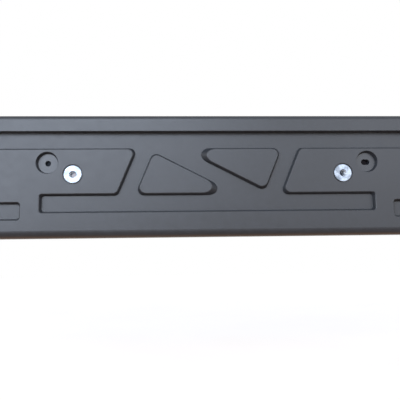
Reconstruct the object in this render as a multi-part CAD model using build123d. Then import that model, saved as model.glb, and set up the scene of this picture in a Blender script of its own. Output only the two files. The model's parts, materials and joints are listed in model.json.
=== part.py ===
from build123d import *
import os
from math import cos, radians, sqrt, tan

# Back rim and shell, lengths in millimetres and angles in degrees
holder_length = 530.0
corner_radius = 14.0
skirt_draft = 2.0
wall = 2.5

# Levels above the bumper face
seat_level = 15.0
recess_depth = 6.0
lip_step = 2.5

# Bands of the front face, from the top edge down
lip_band = 18.8
strip_band = 19.2
pad_band = 49.8
channel_band = 20.4
bottom_band = 27.6

# Slanted pads and the two triangular bosses between them
pad_gap = 184.0
pad_slant = 22.7
groove_width = 20.0
boss_diagonal = 27.3
boss_corner = 7.5
boss_tip = 8.7

# Recesses in the front face
strip_end = 15.0
channel_length = 371.6
channel_corner = 3.0
recess_corner = 6.5
recess_draft = 15.0
box_length = 40.0
box_height = 19.2
box_drop = 8.8
box_gap = 20.7
box_corner = 3.0

# Rounded edges
lip_draft = 1.5
lip_round = 5.2
bottom_round = 8.0
edge_break = 0.6

# Sunk screw points that fix the holder to the bumper
screw_spacing = 356.0
screw_below_pad = 15.2
pocket_diameter = 24.4
pocket_depth = 5.6
pocket_draft = 15.0
screw_hole = 6.2
slot_length = 9.6
sleeve_wall = 3.0

# Threaded metal bushes that take the plate screws
bush_spacing = 300.0
bush_below_screw = 13.0
flange_diameter = 19.6
flange_thickness = 1.5
flange_gap = 1.2
barrel_diameter = 12.0
barrel_fit = 0.05
bush_length = 14.0
thread_bore = 6.8
thread_mouth = 8.0

# Stiffening ribs behind the front
rib_pitch = 50.0
rib_thickness = 1.8

# Heights of the bands, with zero on the line of the bumper screws
pad_top = screw_below_pad
pad_low = pad_top - pad_band
pad_middle = (pad_top + pad_low) / 2
channel_low = pad_low - channel_band
bottom_edge = channel_low - bottom_band
lip_edge = pad_top + strip_band
top_edge = lip_edge + lip_band
middle = (top_edge + bottom_edge) / 2
holder_height = top_edge - bottom_edge

# Sizes that follow from the drafts
lip_level = seat_level + lip_step
pocket_floor = seat_level - pocket_depth
side_wall = wall / cos(radians(recess_draft)) - wall * tan(radians(recess_draft))
slant = tan(radians(pad_slant))
fall = tan(radians(boss_diagonal))


def at_level(level):
    return Plane.XZ.offset(level)


def front_edges(solid):
    return solid.faces().sort_by(Axis.Y)[0].edges()


# Rounds the front edges of the outside, or bevels those of the hollow to keep the wall even
def softened(solid, radius, inset):
    if inset == 0:
        return fillet(front_edges(solid), radius)
    return chamfer(front_edges(solid), (2 - sqrt(2)) * (radius - inset))


# Prism whose sides lean in towards the front, or out where the angle is negative
def drafted(sketch, length, level, angle):
    prism = extrude(sketch, length)
    sides = prism.faces().filter_by(Axis.Y, reverse=True)
    return draft(sides, at_level(level), angle)


# Drafted block whose rim is the holder's outline, or the hollow inside it
def block(level, inset):
    length = holder_length - 2 * inset
    height = holder_height - 2 * inset
    rim = RectangleRounded(length, height, corner_radius - inset)
    return drafted(Plane.XZ * Pos(0, middle) * rim, level - inset, 0, skirt_draft)


# Drafted form between the seat level and the recess floor, with sharp corners
def relief(outline, mouth, angle):
    sketch = at_level(mouth) * Polygon(*outline, align=None)
    return drafted(sketch, -recess_depth, mouth, angle)


# The leaning corner edges of a relief, from left to right
def corners(solid):
    return solid.edges().group_by(Axis.Y)[1].sort_by(Axis.X)


# The strip under the lip, the opening between the pads and the lower channel
def recess_outline(grow):
    top = pad_top - grow
    low = pad_low + grow
    lean = (top - pad_middle) * slant
    pad_edge = pad_gap / 2 + grow / cos(radians(pad_slant))
    strip_x = holder_length / 2 - strip_end + grow
    strip_top = lip_edge + 2 * wall
    channel_x = channel_length / 2 + grow
    floor_line = channel_low - grow
    return [
        (-strip_x, strip_top),
        (-strip_x, top),
        (lean - pad_edge, top),
        (-lean - pad_edge, low),
        (-channel_x, low),
        (-channel_x, floor_line),
        (channel_x, floor_line),
        (channel_x, low),
        (pad_edge - lean, low),
        (pad_edge + lean, top),
        (strip_x, top),
        (strip_x, strip_top),
    ]


# The right triangular boss, one groove away from the pad and from its twin
def boss_outline(grow):
    top = pad_top - pad_middle + grow
    outer = pad_gap / 2 - groove_width / cos(radians(pad_slant)) + grow / cos(radians(pad_slant))
    offset = (groove_width / 2 - grow) / cos(radians(boss_diagonal))
    foot_x = (outer + slant * offset) / (1 + slant * fall)
    return [
        ((offset - top) / fall, top),
        (foot_x, offset - fall * foot_x),
        (outer + slant * top, top),
    ]


def box_outline(grow):
    inner = channel_length / 2 + box_gap - grow
    outer = channel_length / 2 + box_gap + box_length + grow
    top = pad_low - box_drop + grow
    low = pad_low - box_drop - box_height - grow
    return [(inner, top), (inner, low), (outer, low), (outer, top)]


# The raised lip along the top edge, with a steep underside that hooks the plate
def lip(inset):
    edge = lip_edge + inset / cos(radians(lip_draft)) - inset * tan(radians(lip_draft))
    front = lip_level - inset
    foot = edge - front * tan(radians(lip_draft))
    above = top_edge + wall
    side = Polygon((0, foot), (-front, edge), (-front, above), (0, above), align=None)
    if inset == 0:
        side = fillet(side.vertices().sort_by(Axis.X)[:2].sort_by(Axis.Y)[0], edge_break)
    bar = extrude(Plane.YZ * side, holder_length, both=True)
    return softened(block(lip_level, inset), lip_round, inset) & bar


def both_sides(solid):
    return solid + mirror(solid, about=Plane.YZ)


def both_bosses(inset):
    outline = boss_outline(-inset * side_wall / wall)
    boss = relief(outline, seat_level - inset, recess_draft)
    boss = fillet(corners(boss)[1:], boss_corner - inset)
    boss = fillet(corners(boss)[0], boss_tip - inset)
    if inset == 0:
        boss = chamfer(front_edges(boss), edge_break)
    right = Pos(0, 0, pad_middle) * boss
    left = Pos(0, 0, pad_middle) * Rot(0, 180, 0) * boss
    return right + left


# The main recess, with tighter corners at the two ends of its channel
def main_recess(inset):
    outline = recess_outline(inset * side_wall / wall)
    tool = relief(outline, seat_level - inset, -recess_draft)
    edges = corners(tool)
    tool = fillet(edges[2:4] + edges[8:10], channel_corner + inset)
    edges = corners(tool)
    return fillet(edges[:2] + edges[6:10] + edges[14:], recess_corner)


def end_box(inset):
    outline = box_outline(inset * side_wall / wall)
    tool = relief(outline, seat_level - inset, -recess_draft)
    return fillet(corners(tool), box_corner + inset)


# Round pocket of a screw point, or the cup behind it, that opens towards the front
def cup(x, grow):
    rim = at_level(seat_level) * Pos(x, 0) * Circle(pocket_diameter / 2 + grow)
    return drafted(rim, -pocket_depth - grow, seat_level, -pocket_draft)


# The whole front form, used once for the outside and once for the hollow, whose edges stay sharp
def front_form(inset):
    form = softened(block(seat_level, inset), bottom_round, inset)
    form -= main_recess(inset) + both_sides(end_box(inset))
    if inset == 0:
        seat = form.faces().sort_by(Axis.Y)[0]
        mouth_edges = [edge for wire in seat.inner_wires() for edge in wire.edges()]
        form = chamfer(mouth_edges, edge_break)
    form -= both_sides(cup(screw_spacing / 2, inset))
    return form + both_bosses(inset) + lip(inset)


def disc(x, z, diameter, low, high):
    return extrude(at_level(low) * Pos(x, z) * Circle(diameter / 2), high - low)


bush_z = -bush_below_screw
bush_floor = seat_level - flange_thickness
hollow = front_form(wall)

# Ribs left standing across and along the hollow
rib_count = int((holder_length / 2 - 2 * wall) / rib_pitch)
for step in range(-rib_count, rib_count + 1):
    hollow -= Pos(step * rib_pitch, 0, 0) * Box(rib_thickness, 3 * lip_level, 2 * holder_height)
for height in (0, (pad_low + channel_low) / 2):
    hollow -= Pos(0, 0, height) * Box(holder_length, 3 * lip_level, rib_thickness)

# Bosses behind the bushes, and spacer sleeves behind the screw points
for side in (-1, 1):
    x = side * bush_spacing / 2
    hollow -= disc(x, bush_z, barrel_diameter + 2 * wall, 0, seat_level)
    hollow -= disc(x, bush_z, flange_diameter + 2 * wall, bush_floor - wall, seat_level)
sleeve = SlotOverall(slot_length + 2 * sleeve_wall, screw_hole + 2 * sleeve_wall)
hollow -= disc(-screw_spacing / 2, 0, screw_hole + 2 * sleeve_wall, 0, pocket_floor)
hollow -= extrude(Plane.XZ * Pos(screw_spacing / 2, 0) * sleeve, pocket_floor)

holder = front_form(0) - hollow

# Seats for the bushes, and one round and one slotted screw hole
for side in (-1, 1):
    x = side * bush_spacing / 2
    holder -= disc(x, bush_z, flange_diameter + 2 * flange_gap, bush_floor, lip_level)
    holder -= disc(x, bush_z, barrel_diameter + 2 * barrel_fit, 0, lip_level)
slot = SlotOverall(slot_length, screw_hole)
holder -= disc(-screw_spacing / 2, 0, screw_hole, 0, seat_level)
holder -= extrude(Plane.XZ * Pos(screw_spacing / 2, 0) * slot, seat_level)

# Turned bush: a flange, a barrel and a bore with a countersunk mouth
bore = thread_bore / 2
mouth = thread_mouth / 2
section = Polyline(
    (bore, -bush_length),
    (barrel_diameter / 2, -bush_length),
    (barrel_diameter / 2, -flange_thickness),
    (flange_diameter / 2, -flange_thickness),
    (flange_diameter / 2, 0),
    (mouth, 0),
    (bore, bore - mouth),
    close=True,
)
bush = revolve(Plane.XZ * make_face(section), Axis.Z)
bush = Rot(90, 0, 0) * bush

os.makedirs("parts", exist_ok=True)
export_step(holder, "parts/holder_moulding.step")
for side, name in ((-1, "left"), (1, "right")):
    place = Pos(side * bush_spacing / 2, -seat_level, bush_z)
    export_step(place * bush, f"parts/{name}_threaded_bush.step")
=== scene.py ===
import json
import math
import bmesh
import bpy
from mathutils import Euler, Matrix, Vector


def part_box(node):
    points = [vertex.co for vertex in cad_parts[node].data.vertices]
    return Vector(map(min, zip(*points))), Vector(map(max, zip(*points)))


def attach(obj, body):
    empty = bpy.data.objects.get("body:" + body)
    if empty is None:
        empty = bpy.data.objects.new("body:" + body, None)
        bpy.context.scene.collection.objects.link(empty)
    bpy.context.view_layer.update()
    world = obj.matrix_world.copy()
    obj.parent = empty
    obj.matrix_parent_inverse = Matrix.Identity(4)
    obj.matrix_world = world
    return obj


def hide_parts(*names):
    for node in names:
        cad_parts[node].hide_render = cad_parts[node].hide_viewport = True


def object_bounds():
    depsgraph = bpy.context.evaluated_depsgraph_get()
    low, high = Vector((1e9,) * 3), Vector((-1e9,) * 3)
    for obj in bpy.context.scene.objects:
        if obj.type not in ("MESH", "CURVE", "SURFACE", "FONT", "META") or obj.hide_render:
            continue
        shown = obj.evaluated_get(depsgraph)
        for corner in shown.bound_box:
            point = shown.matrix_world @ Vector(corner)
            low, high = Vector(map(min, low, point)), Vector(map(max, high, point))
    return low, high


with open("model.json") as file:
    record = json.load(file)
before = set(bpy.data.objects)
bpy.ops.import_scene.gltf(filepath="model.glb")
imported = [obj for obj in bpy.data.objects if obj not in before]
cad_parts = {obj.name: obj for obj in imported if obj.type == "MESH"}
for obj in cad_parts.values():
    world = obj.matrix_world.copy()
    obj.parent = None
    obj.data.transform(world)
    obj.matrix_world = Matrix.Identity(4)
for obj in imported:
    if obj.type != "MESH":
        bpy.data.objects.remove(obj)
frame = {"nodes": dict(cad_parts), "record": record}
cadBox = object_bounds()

mm = 0.001
white = (1.0, 1.0, 1.0, 1.0)
print("frame loaded:", ", ".join(sorted(frame["nodes"])))


# small helpers for objects
def addObject(name, data):
    thing = bpy.data.objects.new(name, data)
    bpy.context.scene.collection.objects.link(thing)
    return thing


def rolled(aim, degrees):
    return aim @ Matrix.Rotation(math.radians(degrees), 3, "Z")


def fullTurn(count):
    return [math.tau * step / count for step in range(count)]


def roundPath(x, y, z, radii):
    # one point for each radius, once round an axis that runs from front to back
    return [(x + radius * math.cos(turn), y, z + radius * math.sin(turn))
            for turn, radius in zip(fullTurn(len(radii)), radii)]


# small helpers for shader trees
def newMaterial(name):
    mat = bpy.data.materials.new(name)
    mat.use_nodes = True
    mat.node_tree.nodes.clear()
    return mat, mat.node_tree


def setInput(tree, node, socket, value):
    target = node.inputs[socket]
    if isinstance(value, bpy.types.NodeSocket):
        tree.links.new(value, target)
    else:
        target.default_value = value


def addNode(tree, kind, **inputs):
    node = tree.nodes.new(kind)
    for socket, value in inputs.items():
        setInput(tree, node, socket, value)
    return node


def objectPlace(tree):
    place = tree.nodes.new("ShaderNodeTexCoord").outputs["Object"]
    split = addNode(tree, "ShaderNodeSeparateXYZ", Vector=place)
    return place, split.outputs["X"], split.outputs["Y"], split.outputs["Z"]


def noiseField(tree, place, scale, detail, roughness):
    node = addNode(tree, "ShaderNodeTexNoise", Vector=place, Scale=scale, Detail=detail, Roughness=roughness)
    return node.outputs["Fac"]


def mathNode(tree, operation, first, second=0.0):
    node = tree.nodes.new("ShaderNodeMath")
    node.operation = operation
    setInput(tree, node, 0, first)
    setInput(tree, node, 1, second)
    return node.outputs["Value"]


def squareSum(tree, first, second):
    firstSquare = mathNode(tree, "MULTIPLY", first, first)
    secondSquare = mathNode(tree, "MULTIPLY", second, second)
    return mathNode(tree, "ADD", firstSquare, secondSquare)


def axisReach(tree, x, z, axisX, axisZ):
    # squared distance from an axis that runs from front to back
    across = mathNode(tree, "SUBTRACT", x, axisX)
    upward = mathNode(tree, "SUBTRACT", z, axisZ)
    return squareSum(tree, across, upward)


def mapRange(tree, value, span, result=(0.0, 1.0)):
    node = addNode(tree, "ShaderNodeMapRange", Value=value)
    node.inputs["From Min"].default_value, node.inputs["From Max"].default_value = span
    node.inputs["To Min"].default_value, node.inputs["To Max"].default_value = result
    return node.outputs["Result"]


def mixColour(tree, share, first, second):
    node = tree.nodes.new("ShaderNodeMix")
    node.data_type = "RGBA"
    setInput(tree, node, 0, share)
    setInput(tree, node, 6, first)  # sockets 6 and 7 take colours
    setInput(tree, node, 7, second)
    return node.outputs[2]


def bumpNormal(tree, height, strength, distance, under=None):
    node = addNode(tree, "ShaderNodeBump", Height=height, Strength=strength, Distance=distance)
    if under is not None:
        setInput(tree, node, "Normal", under)
    return node.outputs["Normal"]


def principled(tree, colour, rough, normal):
    shader = addNode(tree, "ShaderNodeBsdfPrincipled", Roughness=rough, Normal=normal)
    setInput(tree, shader, "Base Color", colour)
    return shader


def mirroredRay(tree, path):
    return mathNode(tree, "MAXIMUM", path.outputs["Is Glossy Ray"], path.outputs["Is Transmission Ray"])


def shaderOut(tree, shader):
    addNode(tree, "ShaderNodeOutputMaterial", Surface=shader)


# black injection moulded plastic with a spark eroded grain
moulding = {
    "dark": (0.032, 0.035, 0.040, 1.0),
    "pale": (0.044, 0.048, 0.055, 1.0),
    # painted highlight: the paler colour mixed in along the edges
    "edgeHighlight": (0.075, 0.079, 0.087, 1.0),
    "specular": 0.77,
    "flow": (9.0, 2.0, 0.55),  # scale, detail and roughness of the noise
    "mottle": (120.0, 4.0, 0.55),
    "grain": (2400.0, 2.0, 0.6),
    "flowShare": 0.5,
    "toneSpan": (0.35, 0.65),
    "edgeRadius": 0.5 * mm,
    "edgeSamples": 6,
    "edgeSpan": (0.98, 0.80),  # cosine of the turn from flat to edge
    # span and share of the painted edge highlight, patchy with the mottle
    "edgeHighlightSpan": (0.40, 0.62),
    "edgeHighlightShare": (0.1, 0.7),
    "grainInRough": 0.6,
    "roughSpan": (0.5, 1.1),
    "rough": (0.34, 0.44),
    "grainStrength": 0.22,
    "grainHeight": 0.06 * mm,
    "pocketRadius": 12.0 * mm,
    "pocketFront": -14.4 * mm,
    "pocketPolish": 0.10,
    "lipEdge": 34.4 * mm,
    "lipPolish": 0.03,
}


def screwReach(tree, x, z, screwPlaces):
    # squared distance from the nearest screw axis
    nearest, *others = [axisReach(tree, x, z, place[0], place[2]) for place in screwPlaces]
    for other in others:
        nearest = mathNode(tree, "MINIMUM", nearest, other)
    return nearest


def grainedPlastic(look, screwPlaces):
    mat, tree = newMaterial("grainedBlackPlastic")
    place, x, y, z = objectPlace(tree)
    # moulding flow, faint patches and the fine grain
    flow = noiseField(tree, place, *look["flow"])
    mottle = noiseField(tree, place, *look["mottle"])
    grain = noiseField(tree, place, *look["grain"])
    flowPart = mathNode(tree, "MULTIPLY", flow, look["flowShare"])
    mottlePart = mathNode(tree, "MULTIPLY", mottle, 1 - look["flowShare"])
    tone = mapRange(tree, mathNode(tree, "ADD", flowPart, mottlePart), look["toneSpan"])
    # edges painted a little paler in patches: a painted highlight along them
    bevel = addNode(tree, "ShaderNodeBevel", Radius=look["edgeRadius"])
    bevel.samples = look["edgeSamples"]
    flat = tree.nodes.new("ShaderNodeNewGeometry")
    turn = tree.nodes.new("ShaderNodeVectorMath")
    turn.operation = "DOT_PRODUCT"
    setInput(tree, turn, 0, bevel.outputs["Normal"])
    setInput(tree, turn, 1, flat.outputs["Normal"])
    edge = mapRange(tree, turn.outputs["Value"], look["edgeSpan"])
    paintedHighlight = mathNode(tree, "MULTIPLY", edge, mapRange(tree, mottle, look["edgeHighlightSpan"], look["edgeHighlightShare"]))
    colour = mixColour(tree, tone, look["dark"], look["pale"])
    colour = mixColour(tree, paintedHighlight, colour, look["edgeHighlight"])
    # the pocket floors and the lip came smoother out of the mould
    grainPart = mathNode(tree, "MULTIPLY", grain, look["grainInRough"])
    rough = mapRange(tree, mathNode(tree, "ADD", mottle, grainPart), look["roughSpan"], look["rough"])
    reach = screwReach(tree, x, z, screwPlaces)
    near = mathNode(tree, "LESS_THAN", reach, look["pocketRadius"] ** 2)
    sunk = mathNode(tree, "GREATER_THAN", y, look["pocketFront"])
    pocket = mathNode(tree, "MULTIPLY", near, sunk)
    lip = mathNode(tree, "GREATER_THAN", z, look["lipEdge"])
    for region, polish in ((pocket, look["pocketPolish"]), (lip, look["lipPolish"])):
        rough = mathNode(tree, "SUBTRACT", rough, mathNode(tree, "MULTIPLY", region, polish))
    normal = bumpNormal(tree, grain, look["grainStrength"], look["grainHeight"], bevel.outputs["Normal"])
    shader = principled(tree, colour, rough, normal)
    setInput(tree, shader, "Specular IOR Level", look["specular"])
    shaderOut(tree, shader.outputs["BSDF"])
    return mat


holder = frame["nodes"]["holder_moulding"]
holder.data.materials.clear()
bumperScrews = [mount["pos_m"] for mount in frame["record"]["mounts"]
                if mount["name"].startswith("bumper_screw")]
holder.data.materials.append(grainedPlastic(moulding, bumperScrews))
print("moulding dressed")


# turned and zinc plated steel bush with a metric thread
turnedBush = {
    "flange": 1.5 * mm,
    "barrel": 6.0 * mm,
    "mouth": 4.0 * mm,
    "crest": 3.4 * mm,
    "root": 4.0 * mm,
    "pitch": 1.25 * mm,
    "crestFlat": 0.25,  # shares of the pitch
    "rootFlat": 0.125,
    "edgeRound": 0.35 * mm,
    "roundSteps": 4,
    "faceSteps": 6,
    "segments": 72,
    "rowsPerTurn": 12,
    "sharpAngle": 32.0,
    "steel": (0.47, 0.53, 0.62, 1.0),
    "steelDull": (0.24, 0.28, 0.33, 1.0),
    "cloud": (160.0, 3.0, 0.55),  # scale, detail and roughness of the noise
    "dullSpan": (0.38, 0.66),
    "roughSpan": (0.3, 0.7),
    "rough": (0.20, 0.36),
    "aniso": 0.6,
    "ringPitch": 0.32 * mm,
    "ringHeight": 0.008 * mm,
    "ringStrength": 0.5,
    "wander": (260.0, 2.0, 0.55),
    "wanderAngle": 5.0,
    # bore zinc far paler than the flange's: painted light on the bore wall
    "bore": (0.86, 0.90, 0.94, 1.0),
    "boreDull": (0.72, 0.76, 0.80, 1.0),
    "boreRough": 0.60,
    "grime": (700.0, 3.0, 0.55),
    "grimeSpan": (0.4, 0.65),
    "grimeHeight": 0.008 * mm,
    "grimeStrength": 0.3,
}


def turnedZinc(name, centre, look):
    mat, tree = newMaterial(name)
    place, x, y, z = objectPlace(tree)
    # rings that the lathe tool leaves, uneven from turn to turn
    radius = mathNode(tree, "SQRT", axisReach(tree, x, z, centre.x, centre.z))
    angle = mathNode(tree, "MULTIPLY", radius, math.tau / look["ringPitch"])
    wander = mathNode(tree, "MULTIPLY", noiseField(tree, place, *look["wander"]), look["wanderAngle"])
    ring = mathNode(tree, "SINE", mathNode(tree, "ADD", angle, wander))
    normal = bumpNormal(tree, ring, look["ringStrength"], look["ringHeight"])
    # plating that has dulled in clouds
    cloud = noiseField(tree, place, *look["cloud"])
    colour = mixColour(tree, mapRange(tree, cloud, look["dullSpan"]), look["steel"], look["steelDull"])
    rough = mapRange(tree, cloud, look["roughSpan"], look["rough"])
    shader = principled(tree, colour, rough, normal)
    setInput(tree, shader, "Metallic", 1.0)
    setInput(tree, shader, "Anisotropic", look["aniso"])
    tangent = tree.nodes.new("ShaderNodeTangent")
    tangent.direction_type = "RADIAL"
    tangent.axis = "Y"
    setInput(tree, shader, "Tangent", tangent.outputs["Tangent"])
    shaderOut(tree, shader.outputs["BSDF"])
    return mat


# paler copy of the bush's zinc for the thread, painting light on the bore wall, dulled in clouds of grime
def boreZinc(name, look):
    mat, tree = newMaterial(name)
    place = tree.nodes.new("ShaderNodeTexCoord").outputs["Object"]
    grime = noiseField(tree, place, *look["grime"])
    colour = mixColour(tree, mapRange(tree, grime, look["grimeSpan"]), look["bore"], look["boreDull"])
    normal = bumpNormal(tree, grime, look["grimeStrength"], look["grimeHeight"])
    shader = principled(tree, colour, look["boreRough"], normal)
    setInput(tree, shader, "Metallic", 1.0)
    shaderOut(tree, shader.outputs["BSDF"])
    return mat


def threadRadius(shape, depth, turn):
    # narrow flat root, straight flank and flat crest, cut away by the countersink
    phase = (depth / shape["pitch"] - turn / math.tau) % 1.0
    fromRoot = abs(phase - 0.5) * 2
    flank = 1 - shape["crestFlat"] - shape["rootFlat"]
    rise = min(max((fromRoot - shape["rootFlat"]) / flank, 0.0), 1.0)
    radius = shape["root"] + (shape["crest"] - shape["root"]) * rise
    return max(radius, shape["mouth"] - depth)


def bushProfile(shape, flangeRadius, length):
    # outside of the turned blank from the countersink round to the back end, as radius and depth
    mouth = shape["mouth"]
    barrel = shape["barrel"]
    edge = shape["edgeRound"]
    corner = flangeRadius - edge
    steps = shape["faceSteps"]
    points = [(mouth + (corner - mouth) * step / steps, 0.0) for step in range(steps)]
    for step in range(shape["roundSteps"] + 1):
        turn = math.radians(90 * step / shape["roundSteps"])
        points.append((corner + edge * math.sin(turn), edge - edge * math.cos(turn)))
    points += [(flangeRadius, shape["flange"]), (barrel, shape["flange"])]
    points += [(barrel, length - edge), (barrel - edge, length)]
    return points


def makeBush(name, node, shape, boreFinish):
    low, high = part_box(node)
    centre = (low + high) / 2
    length = high.y - low.y
    count = shape["segments"]
    outside = bushProfile(shape, (high.x - low.x) / 2, length)
    circles = [(depth, [radius] * count) for radius, depth in outside]
    # the threaded bore runs back from the far end to the countersunk mouth
    rows = round(length / shape["pitch"] * shape["rowsPerTurn"])
    for row in range(rows, 0, -1):
        depth = length * row / rows
        radii = [threadRadius(shape, depth, turn) for turn in fullTurn(count)]
        circles.append((depth, radii))
    mesh = bmesh.new()
    rings = [[mesh.verts.new(point) for point in roundPath(centre.x, low.y + depth, centre.z, radii)]
             for depth, radii in circles]
    # the thread takes the paler bore zinc, which paints light on the bore wall, and the countersink shares
    # the zinc of the flange
    threadStart = len(outside)
    threadEnd = len(rings) - round((shape["mouth"] - shape["crest"]) / length * rows)
    for number, (first, second) in enumerate(zip(rings, rings[1:] + rings[:1])):
        for step in range(count):
            after = (step + 1) % count
            face = mesh.faces.new((first[step], first[after], second[after], second[step]))
            face.material_index = 1 if threadStart <= number < threadEnd else 0
    bmesh.ops.recalc_face_normals(mesh, faces=mesh.faces)
    data = bpy.data.meshes.new(name)
    mesh.to_mesh(data)
    mesh.free()
    for face in data.polygons:
        face.use_smooth = True
    data.set_sharp_from_angle(angle=math.radians(shape["sharpAngle"]))
    data.materials.append(turnedZinc(name + "Zinc", centre, shape))
    data.materials.append(boreFinish)
    bush = addObject(name, data)
    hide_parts(node)
    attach(bush, "root")


paintedLitThreadZinc = boreZinc("paintedLitThreadZinc", turnedBush)
for side in ("left", "right"):
    makeBush(side + "TurnedBush", side + "_threaded_bush", turnedBush, paintedLitThreadZinc)
print("bushes turned and threaded")


# floor well below the holder, and glowing patches that show through the holes only: painted shade behind the
# holes, and painted light behind the left bush
stage = {
    "floorDrop": 0.17,
    "floorSize": 8.0,
    "brown": (0.50, 0.34, 0.22, 1.0),  # in front of the holder
    "plain": (0.46, 0.42, 0.39, 1.0),  # behind it
    "brownToPlain": (0.10, 0.50),
    "speck": (6.0, 4.0, 0.55),  # scale, detail and roughness of the noise
    "speckSpan": (0.3, 0.7),
    "speckShare": (0.0, 0.15),
    "speckColour": (0.7, 0.7, 0.7, 1.0),
    "brownSeen": (1.0, 1.04, 1.10, 1.0),  # what the camera sees added
    "plainSeen": white,
    "seen": (0.75, 0.82),
    "seenSpan": (0.5, 2.0),
    # painted reflection: colours and level of a floor glow that only shiny surfaces see
    "brownPaintedReflection": (1.0, 0.45, 0.15, 1.0),  # what shiny surfaces see added
    "plainPaintedReflection": (1.0, 0.96, 0.94, 1.0),
    "paintedReflection": (0.0, 0.44),
    "paintedReflectionSpan": (-0.08, 0.08),
    "patchRadius": 9.0 * mm,
    "patchGap": 1.5 * mm,
    "patchSegments": 32,
    # glow of each patch: painted shade behind the bumper screws and the right bush, painted light behind the
    # left bush
    "holeLightAndShade": {
        "bumper_screw_hole": (0.024, 0.030, 0.040, 1.0),
        "bumper_screw_slot": (0.014, 0.013, 0.016, 1.0),
        "left_plate_screw": (0.50, 0.50, 0.58, 1.0),
        "right_plate_screw": (0.05, 0.06, 0.08, 1.0),
    },
}


def flatSheet(name, corners):
    data = bpy.data.meshes.new(name)
    data.from_pydata(corners, [], [tuple(range(len(corners)))])
    sheet = addObject(name, data)
    return sheet


def clearFromBehind(tree, shader):
    clear = tree.nodes.new("ShaderNodeBsdfTransparent")
    facing = tree.nodes.new("ShaderNodeNewGeometry")
    pick = tree.nodes.new("ShaderNodeMixShader")
    setInput(tree, pick, 0, facing.outputs["Backfacing"])
    setInput(tree, pick, 1, shader)
    setInput(tree, pick, 2, clear.outputs["BSDF"])
    shaderOut(tree, pick.outputs["Shader"])


def withGlow(tree, shader, ray, level, colour):
    strength = mathNode(tree, "MULTIPLY", ray, level)
    glow = addNode(tree, "ShaderNodeEmission", Color=colour, Strength=strength)
    both = tree.nodes.new("ShaderNodeAddShader")
    setInput(tree, both, 0, shader)
    setInput(tree, both, 1, glow.outputs["Emission"])
    return both.outputs["Shader"]


def paleFloor(look):
    mat, tree = newMaterial("paleFloor")
    place, x, y, z = objectPlace(tree)
    path = tree.nodes.new("ShaderNodeLightPath")
    # brown in front of the holder, plain behind it
    behind = mapRange(tree, y, look["brownToPlain"])
    base = mixColour(tree, behind, look["brown"], look["plain"])
    speck = mapRange(tree, noiseField(tree, place, *look["speck"]), look["speckSpan"], look["speckShare"])
    base = mixColour(tree, speck, base, look["speckColour"])
    shader = addNode(tree, "ShaderNodeBsdfDiffuse", Color=base).outputs["BSDF"]
    # the floor melts into the white background far from the holder
    near, far = look["seenSpan"]
    level = mapRange(tree, squareSum(tree, x, y), (near ** 2, far ** 2), look["seen"])
    colour = mixColour(tree, behind, look["brownSeen"], look["plainSeen"])
    shader = withGlow(tree, shader, path.outputs["Is Camera Ray"], level, colour)
    # painted reflection: a glow that only shiny surfaces see, rising from under the holder back to the white
    # background
    level = mapRange(tree, y, look["paintedReflectionSpan"], look["paintedReflection"])
    colour = mixColour(tree, behind, look["brownPaintedReflection"], look["plainPaintedReflection"])
    shader = withGlow(tree, shader, mirroredRay(tree, path), level, colour)
    clearFromBehind(tree, shader)
    return mat


# a glowing patch that paints what is seen through a hole, shade behind most holes and light behind the left
# bush
def paintedHoleBacking(name, colour):
    mat, tree = newMaterial(name)
    glow = addNode(tree, "ShaderNodeEmission", Color=colour)
    clearFromBehind(tree, glow.outputs["Emission"])
    return mat


boxLow, boxHigh = cadBox
half = stage["floorSize"] / 2
floorZ = boxLow.z - stage["floorDrop"]
floorCorners = [(-half, -half), (half, -half), (half, half), (-half, half)]
floor = flatSheet("floor", [(x, y, floorZ) for x, y in floorCorners])
floor.data.materials.append(paleFloor(stage))

# painted shade and light behind the holes, one glowing patch for each
for mount in frame["record"]["mounts"]:
    if mount["name"] not in stage["holeLightAndShade"]:
        continue
    name = "paintedBacking_" + mount["name"]
    x, y, z = mount["pos_m"]
    rim = roundPath(x, boxHigh.y + stage["patchGap"], z, [stage["patchRadius"]] * stage["patchSegments"])
    paintedBackingPatch = flatSheet(name, rim)
    paintedBackingPatch.data.materials.append(paintedHoleBacking(name, stage["holeLightAndShade"][mount["name"]]))
    paintedBackingPatch.visible_shadow = False
print("stage set")


# two wide panels in front, the bright one to the left where the left bush mirrors it
keySoftbox = {
    "place": (-0.56, -1.35, 0.40),
    "roll": 26.0,
    "wide": 1.65,
    "tall": 0.75,
    "power": 14.4,
    "colour": (0.82, 0.94, 1.14),
}
fillSoftbox = {
    "place": (1.10, -1.35, 0.42),
    "roll": 0.0,
    "wide": 1.6,
    "tall": 0.75,
    "power": 4.6,
    "colour": (0.90, 0.97, 1.13),
}


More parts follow.
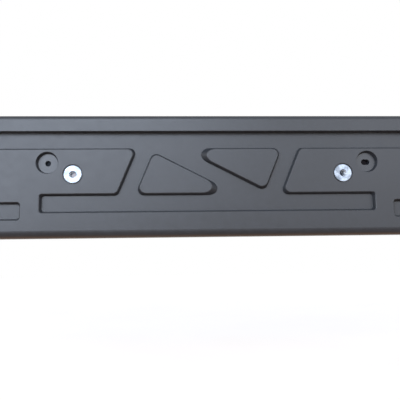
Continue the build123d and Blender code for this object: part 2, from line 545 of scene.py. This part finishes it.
def softbox(name, panel):
    lamp = bpy.data.lights.new(name, "AREA")
    lamp.shape = "RECTANGLE"
    lamp.size = panel["wide"]
    lamp.size_y = panel["tall"]
    lamp.energy = panel["power"]
    lamp.color = panel["colour"]
    box = addObject(name, lamp)
    box.location = panel["place"]
    aim = (-Vector(panel["place"])).to_track_quat("-Z", "Y").to_matrix()  # towards the holder
    box.rotation_euler = rolled(aim, panel["roll"]).to_euler()
    box.visible_camera = False


softbox("keySoftbox", keySoftbox)
softbox("fillSoftbox", fillSoftbox)


# white to the camera, a bright room to shiny surfaces and a bluish one to the rest
studio = {
    "ambient": (0.44, 0.48, 0.57, 1.0),
    "horizonToCeiling": (1.0, 0.6),
    "heightSpan": (0.2, 0.5),
}


def studioRoom(look):
    world = bpy.data.worlds.new("studio")
    world.use_nodes = True
    tree = world.node_tree
    tree.nodes.clear()
    path = tree.nodes.new("ShaderNodeLightPath")
    toward = tree.nodes.new("ShaderNodeTexCoord").outputs["Generated"]
    height = addNode(tree, "ShaderNodeSeparateXYZ", Vector=toward).outputs["Z"]
    room = mapRange(tree, height, look["heightSpan"], look["horizonToCeiling"])
    colour = mixColour(tree, mirroredRay(tree, path), look["ambient"], room)
    colour = mixColour(tree, path.outputs["Is Camera Ray"], colour, white)
    shader = addNode(tree, "ShaderNodeBackground", Color=colour)
    addNode(tree, "ShaderNodeOutputWorld", Surface=shader.outputs["Background"])
    return world


bpy.context.scene.world = studioRoom(studio)
print("lights on")


# camera where the photograph was taken: a little left of the middle, low and tilted up
shot = {
    "place": (-39.5 * mm, -585.4 * mm, -106.9 * mm),
    "turnRight": 2.86,
    "tiltUp": 6.445,
    "roll": -0.795,
    "lens": 47.02,
    "sensor": 36.0,
    "clipStart": 0.01,
}

camData = bpy.data.cameras.new("shotCamera")
camData.sensor_width = shot["sensor"]
camData.lens = shot["lens"]
camData.clip_start = shot["clipStart"]
cam = addObject("shotCamera", camData)
straightAhead = 90  # a camera at zero looks straight down
aim = Euler((math.radians(straightAhead + shot["tiltUp"]), 0, -math.radians(shot["turnRight"]))).to_matrix()
cam.matrix_world = Matrix.Translation(shot["place"]) @ rolled(aim, shot["roll"]).to_4x4()
bpy.context.scene.camera = cam
bpy.context.scene.view_settings.view_transform = "Standard"
print("camera placed")

print("scene ready")
